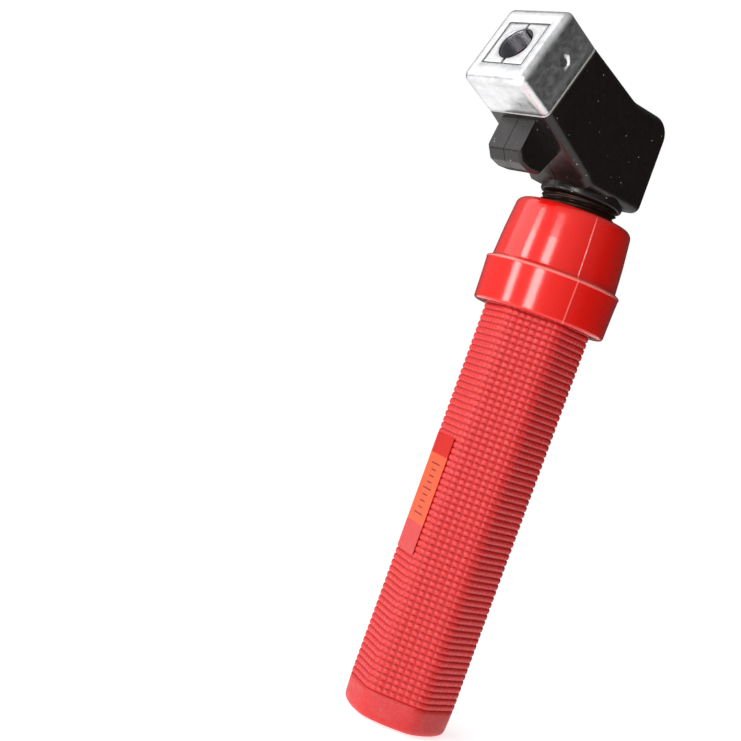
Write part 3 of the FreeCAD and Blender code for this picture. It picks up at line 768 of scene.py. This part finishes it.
# ---- assemble -----------------------------------------------------------------------------------
def place(piece, body, slot_name, material, *nodes):
    """Rides a new piece on its body, in the place of CAD nodes, with its material."""
    piece.data.materials.clear()
    piece.data.materials.append(material)
    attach(piece, body)
    if nodes:
        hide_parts(*nodes)


FINISHES = {
    "grip_rubber": grip_rubber(),
    "collar_plastic": collar_plastic(),
    "shell_black": shell_black(),
    "nose_metal": nose_metal(),
    "mouth_metal": mouth_metal(),
    "neck_metal": neck_metal(),
    "steel": turned_metal("steel", (0.42, 0.42, 0.43), (0.62, 0.62, 0.63), 0.32),
    "dark_steel": turned_metal("dark_steel", (0.05, 0.05, 0.052), (0.12, 0.12, 0.125), 0.38),
    "brass": turned_metal("brass", (0.52, 0.34, 0.12), (0.74, 0.53, 0.23), 0.3),
    "jaw_metal": turned_metal("jaw_metal", (0.36, 0.18, 0.10), (0.60, 0.33, 0.19), 0.38),
    "liner_fibre": fibre("liner_fibre", (0.16, 0.07, 0.03), (0.30, 0.15, 0.07)),
    "washer_fibre": fibre("washer_fibre", (0.10, 0.04, 0.02), (0.20, 0.09, 0.045)),
    "gasket_fibre": fibre("gasket_fibre", (0.45, 0.44, 0.42), (0.66, 0.64, 0.61)),
    "label_film": film("label_film", (0.50, 0.009, 0.005), (0.58, 0.016, 0.010)),
    "label_orange": film("label_orange", (0.72, 0.078, 0.027), (0.80, 0.115, 0.043)),
    "label_foot": film("label_foot", (0.55, 0.038, 0.038), (0.63, 0.062, 0.062)),
    "label_ink": film("label_ink", (0.16, 0.012, 0.010), (0.26, 0.03, 0.022)),
}

SLOT_OF = {part["node"]: part["material_slot"] for part in frame["record"]["subparts"]}
for name, slot_name in SLOT_OF.items():
    node = frame["nodes"][name]
    node.data.materials.clear()
    node.data.materials.append(FINISHES[slot_name])

place(build_grip(), "handle", "grip_rubber", FINISHES["grip_rubber"], "grip")
place(build_collar(), "handle", "collar_plastic", FINISHES["collar_plastic"], "collar")
place(build_neck(), "head", "neck_metal", FINISHES["neck_metal"], "threaded_neck")
place(build_nose_cap(), "head", "nose_metal", FINISHES["nose_metal"], "nose_cap")
for side, hand in ((-1, "right"), (1, "left")):
    insert = build_mouth_half(side, "mouth_insert_" + hand)
    place(insert, "head", "mouth_metal", FINISHES["mouth_metal"], "mouth_half_" + hand)
place(build_mouth_keys(), "head", "mouth_metal", FINISHES["mouth_metal"])
place(build_cap_screws(), "head", SLOT_OF["cap_screws"], FINISHES[SLOT_OF["cap_screws"]], "cap_screws")
build_label()
spring = build_spring()
place(spring, "head", SLOT_OF["return_spring"], FINISHES[SLOT_OF["return_spring"]], "return_spring")
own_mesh(spring)


# ---- studio -------------------------------------------------------------------------------------
FLOOR_R = 0.6
FLOOR_Z = -0.6 * MM
BRIGHT_SIDE = (-0.82, 0.05, 0.57)


def build_floor():
    """Plain pale round floor."""
    rim = [Vector((FLOOR_R * math.cos(math.radians(a)), FLOOR_R * math.sin(math.radians(a)), FLOOR_Z))
           for a in range(0, 360, 5)]
    floor = add_mesh("floor", rim, [list(range(len(rim)))])
    floor.data.materials.append(floor_paint())
    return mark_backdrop(floor)


def floor_paint():
    """Matte white paint, lit evenly from within like a light table."""
    f = Finish("floor_paint", Roughness=0.9, Emission_Strength=0.68)
    f.shader.inputs["Emission Color"].default_value = (1, 1, 1, 1)
    f.colour(f.mix(f.noise(4, 2), (0.86, 0.86, 0.86), (0.90, 0.90, 0.90)))
    return f.material


def build_world():
    """Surroundings that are bright on the side that the nose points to and dark on the other.  What
    shows behind the holder is plain white."""
    world = bpy.data.worlds.new("studio")
    world.use_nodes = True
    tree = world.node_tree
    tree.nodes.clear()

    def node(kind, **values):
        made = tree.nodes.new(kind)
        for key, value in values.items():
            made.inputs[key.replace("_", " ")].default_value = value
        return made

    coordinates = node("ShaderNodeTexCoord")
    towards = tree.nodes.new("ShaderNodeVectorMath")
    towards.operation = "DOT_PRODUCT"
    towards.inputs[1].default_value = BRIGHT_SIDE
    level = node("ShaderNodeMapRange", From_Min=-0.35, From_Max=0.85, To_Min=0.045, To_Max=0.56)
    around = node("ShaderNodeBackground", Color=(1, 1, 1, 1))
    behind = node("ShaderNodeBackground", Color=(1, 1, 1, 1), Strength=1.0)
    path = node("ShaderNodeLightPath")
    mix = node("ShaderNodeMixShader")
    output = node("ShaderNodeOutputWorld")
    tree.links.new(coordinates.outputs["Generated"], towards.inputs[0])
    tree.links.new(towards.outputs["Value"], level.inputs["Value"])
    tree.links.new(level.outputs["Result"], around.inputs["Strength"])
    tree.links.new(path.outputs["Is Camera Ray"], mix.inputs[0])
    tree.links.new(around.outputs[0], mix.inputs[1])
    tree.links.new(behind.outputs[0], mix.inputs[2])
    tree.links.new(mix.outputs[0], output.inputs["Surface"])
    scene.world = world


def softbox(name, direction, distance, size, power):
    """A rectangular area light that points at the middle of the holder."""
    middle = Vector((-0.01, 0, 0.13))
    light = bpy.data.lights.new(name, "AREA")
    light.shape = "RECTANGLE"
    light.size, light.size_y = size
    light.energy = power
    lamp = bpy.data.objects.new(name, light)
    lamp.location = middle + Vector(direction).normalized() * distance
    lamp.rotation_euler = (middle - lamp.location).to_track_quat("-Z", "Y").to_euler()
    scene.collection.objects.link(lamp)


def build_camera():
    """Level camera to the left of the head, rolled so that the holder leans to the right."""
    azimuth, elevation, roll = math.radians(-39.95), math.radians(0.71), math.radians(19.93)
    target = Vector((-61.82, 0, 109.17)) * MM
    away = Vector((math.sin(azimuth) * math.cos(elevation), -math.cos(azimuth) * math.cos(elevation),
                   math.sin(elevation)))
    lens = bpy.data.cameras.new("camera")
    lens.lens, lens.sensor_width = 67.07, 36
    lens.clip_start = 0.01
    camera = bpy.data.objects.new("camera", lens)
    camera.rotation_mode = "QUATERNION"
    camera.location = target + away * 430.23 * MM
    camera.rotation_quaternion = (-away).to_track_quat("-Z", "Y") @ Quaternion((0, 0, 1), roll)
    scene.collection.objects.link(camera)
    return camera


build_floor()
build_world()
softbox("key", (-0.58, 0.66, 0.48), 0.9, (0.62, 0.62), 1.45)
softbox("strip_left", (-0.945, 0.325, 0.05), 0.8, (0.17, 0.5), 2.5)
softbox("strip_front", (-0.926, -0.376, 0.05), 0.8, (0.2, 0.5), 3.0)
bpy.context.scene.camera = build_camera()
scene.view_settings.view_transform = "Standard"
